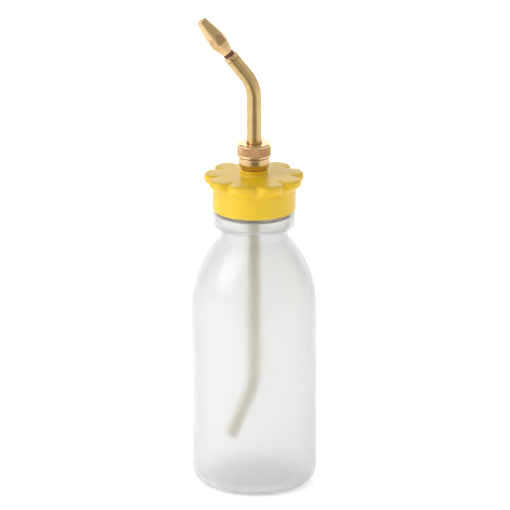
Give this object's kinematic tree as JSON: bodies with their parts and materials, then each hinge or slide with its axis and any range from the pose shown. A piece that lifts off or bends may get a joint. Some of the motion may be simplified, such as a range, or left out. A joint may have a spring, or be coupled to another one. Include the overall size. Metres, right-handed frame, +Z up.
{
  "type": "squeeze oiler can",
  "caption": "Translucent plastic squeeze oiler with a lobed screw cap, a swivelling bent brass spout with a screw-on tapered nozzle, and a bent suction tube inside.",
  "frame": {"origin": "centre of the standing ring, on the surface the bottle stands on", "axes": "+Z up along the bottle's axis, -X towards the side that the spout leans to"},
  "size_m": [0.06, 0.06, 0.2319],
  "materials": {
    "translucent_polyethylene": "frosted, natural translucent polyethylene",
    "yellow_plastic": "moulded, semi-gloss",
    "white_foam_liner": "foamed polyethylene",
    "turned_brass": "turned, bright",
    "knurled_brass": "knurled, bright",
    "drawn_brass": "drawn tube, satin",
    "black_rubber": "nitrile rubber",
    "red_fibre": "vulcanised fibre"
  },
  "bodies": {
    "bottle": {"bottle": "translucent_polyethylene"},
    "cap_liner": {"cap_gasket": "white_foam_liner"},
    "cap": {"screw_cap": "yellow_plastic", "spout_fitting": "turned_brass", "fitting_washer": "red_fibre", "lock_nut": "turned_brass", "gland_seal": "black_rubber"},
    "spout": {"spout_tube": "drawn_brass", "tube_collar": "turned_brass", "nozzle_adapter": "turned_brass", "dip_tube": "drawn_brass"},
    "nut_washer": {"gland_washer": "turned_brass"},
    "nut": {"union_nut": "knurled_brass"},
    "nozzle_packing": {"nozzle_seal": "red_fibre"},
    "nozzle_tip": {"nozzle": "turned_brass"}
  },
  "joints": [
    {"name": "cap_lift", "type": "slide", "parent": "bottle", "child": "cap_liner", "axis": [0, 0, 1], "range_m": [0, 0.00605]},
    {"name": "cap_turn", "type": "hinge", "parent": "cap_liner", "child": "cap", "pos_m": [0, 0, 0.145], "axis": [0, 0, 1], "range_deg": [0, 540]},
    {"name": "spout_swivel", "type": "hinge", "parent": "cap", "child": "spout", "pos_m": [0, 0, 0.166], "axis": [0, 0, 1], "continuous": true},
    {"name": "union_nut_lift", "type": "slide", "parent": "cap", "child": "nut_washer", "axis": [0, 0, 1], "range_m": [0, 0.00455]},
    {"name": "union_nut_turn", "type": "hinge", "parent": "nut_washer", "child": "nut", "pos_m": [0, 0, 0.166], "axis": [0, 0, 1], "range_deg": [0, 1620]},
    {"name": "nozzle_advance", "type": "slide", "parent": "spout", "child": "nozzle_packing", "axis": [-0.6198, 0, 0.7848], "range_m": [0, 0.0042]},
    {"name": "nozzle_turn", "type": "hinge", "parent": "nozzle_packing", "child": "nozzle_tip", "pos_m": [-0.01001, 0, 0.2112], "axis": [-0.6198, 0, 0.7848], "range_deg": [0, 2160]}
  ],
  "couplings": [
    {"joint": "cap_lift", "follows": "cap_turn", "m_per_rad": 0.00063662},
    {"joint": "union_nut_lift", "follows": "union_nut_turn", "m_per_rad": 0.00015915},
    {"joint": "nozzle_turn", "follows": "nozzle_advance", "rad_per_m": 8976}
  ]
}
